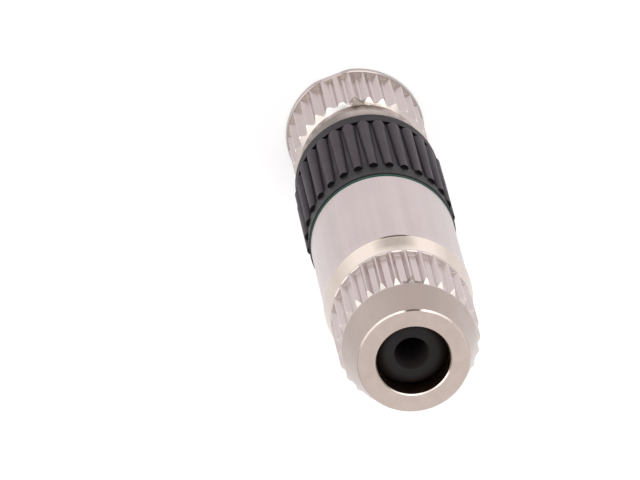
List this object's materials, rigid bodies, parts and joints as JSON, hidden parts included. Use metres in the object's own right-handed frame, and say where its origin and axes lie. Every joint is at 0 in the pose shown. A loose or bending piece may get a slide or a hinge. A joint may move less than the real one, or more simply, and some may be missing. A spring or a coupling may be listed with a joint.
{
  "type": "circular sensor connector",
  "caption": "Straight round cable connector for sensors, with a fluted coupling nut, ribbed grip ring, smooth housing and a fluted clamp nut that seals the cable.",
  "frame": {"origin": "centre of the coupling nut's rim, on the mating face that the connector stands on", "axes": "+Z along the connector's axis from the mating face to the cable entry, +Y towards the keyway in the contact insert"},
  "size_m": [0.0126, 0.0126, 0.0441],
  "materials": {
    "nickel": "satin nickel plate on turned brass",
    "spring_metal": "bare spring bronze wire, satin",
    "contact_gold": "thin gold plate, smooth",
    "ring_plastic": "moulded, semi-matte",
    "insert_plastic": "moulded, matte",
    "natural_plastic": "natural moulded plastic, matte",
    "black_rubber": "matte rubber",
    "green_rubber": "matte rubber"
  },
  "bodies": {
    "core": {"carrier_sleeve": "nickel", "contact_insert": "insert_plastic", "contact_1": "contact_gold", "contact_2": "contact_gold", "contact_3": "contact_gold", "contact_4": "contact_gold", "nose_seal": "black_rubber", "retaining_clip": "spring_metal", "insulating_sleeve": "natural_plastic", "grip_ring": "ring_plastic", "gasket": "green_rubber"},
    "coupling_nut": {"coupling_nut": "nickel"},
    "cable_shield": {"shield_ring": "nickel"},
    "housing": {"housing": "nickel", "seal_washer": "natural_plastic"},
    "cable_seal": {"cable_seal": "black_rubber"},
    "clamp_nut": {"clamp_nut": "nickel"}
  },
  "joints": [
    {"name": "coupling_nut_spin", "type": "hinge", "parent": "core", "child": "coupling_nut", "pos_m": [0, 0, 0.003], "axis": [0, 0, 1], "continuous": true},
    {"name": "housing_travel", "type": "slide", "parent": "core", "child": "cable_shield", "axis": [0, 0, 1], "range_m": [0, 0.006]},
    {"name": "housing_turn", "type": "hinge", "parent": "cable_shield", "child": "housing", "pos_m": [0, 0, 0.027], "axis": [0, 0, 1], "range_deg": [0, 2880]},
    {"name": "clamp_travel", "type": "slide", "parent": "housing", "child": "cable_seal", "axis": [0, 0, 1], "range_m": [0, 0.00825]},
    {"name": "clamp_turn", "type": "hinge", "parent": "cable_seal", "child": "clamp_nut", "pos_m": [0, 0, 0.039], "axis": [0, 0, 1], "range_deg": [0, 3960]}
  ],
  "couplings": [
    {"joint": "housing_turn", "follows": "housing_travel", "rad_per_m": 8377.6},
    {"joint": "clamp_turn", "follows": "clamp_travel", "rad_per_m": 8377.6}
  ]
}
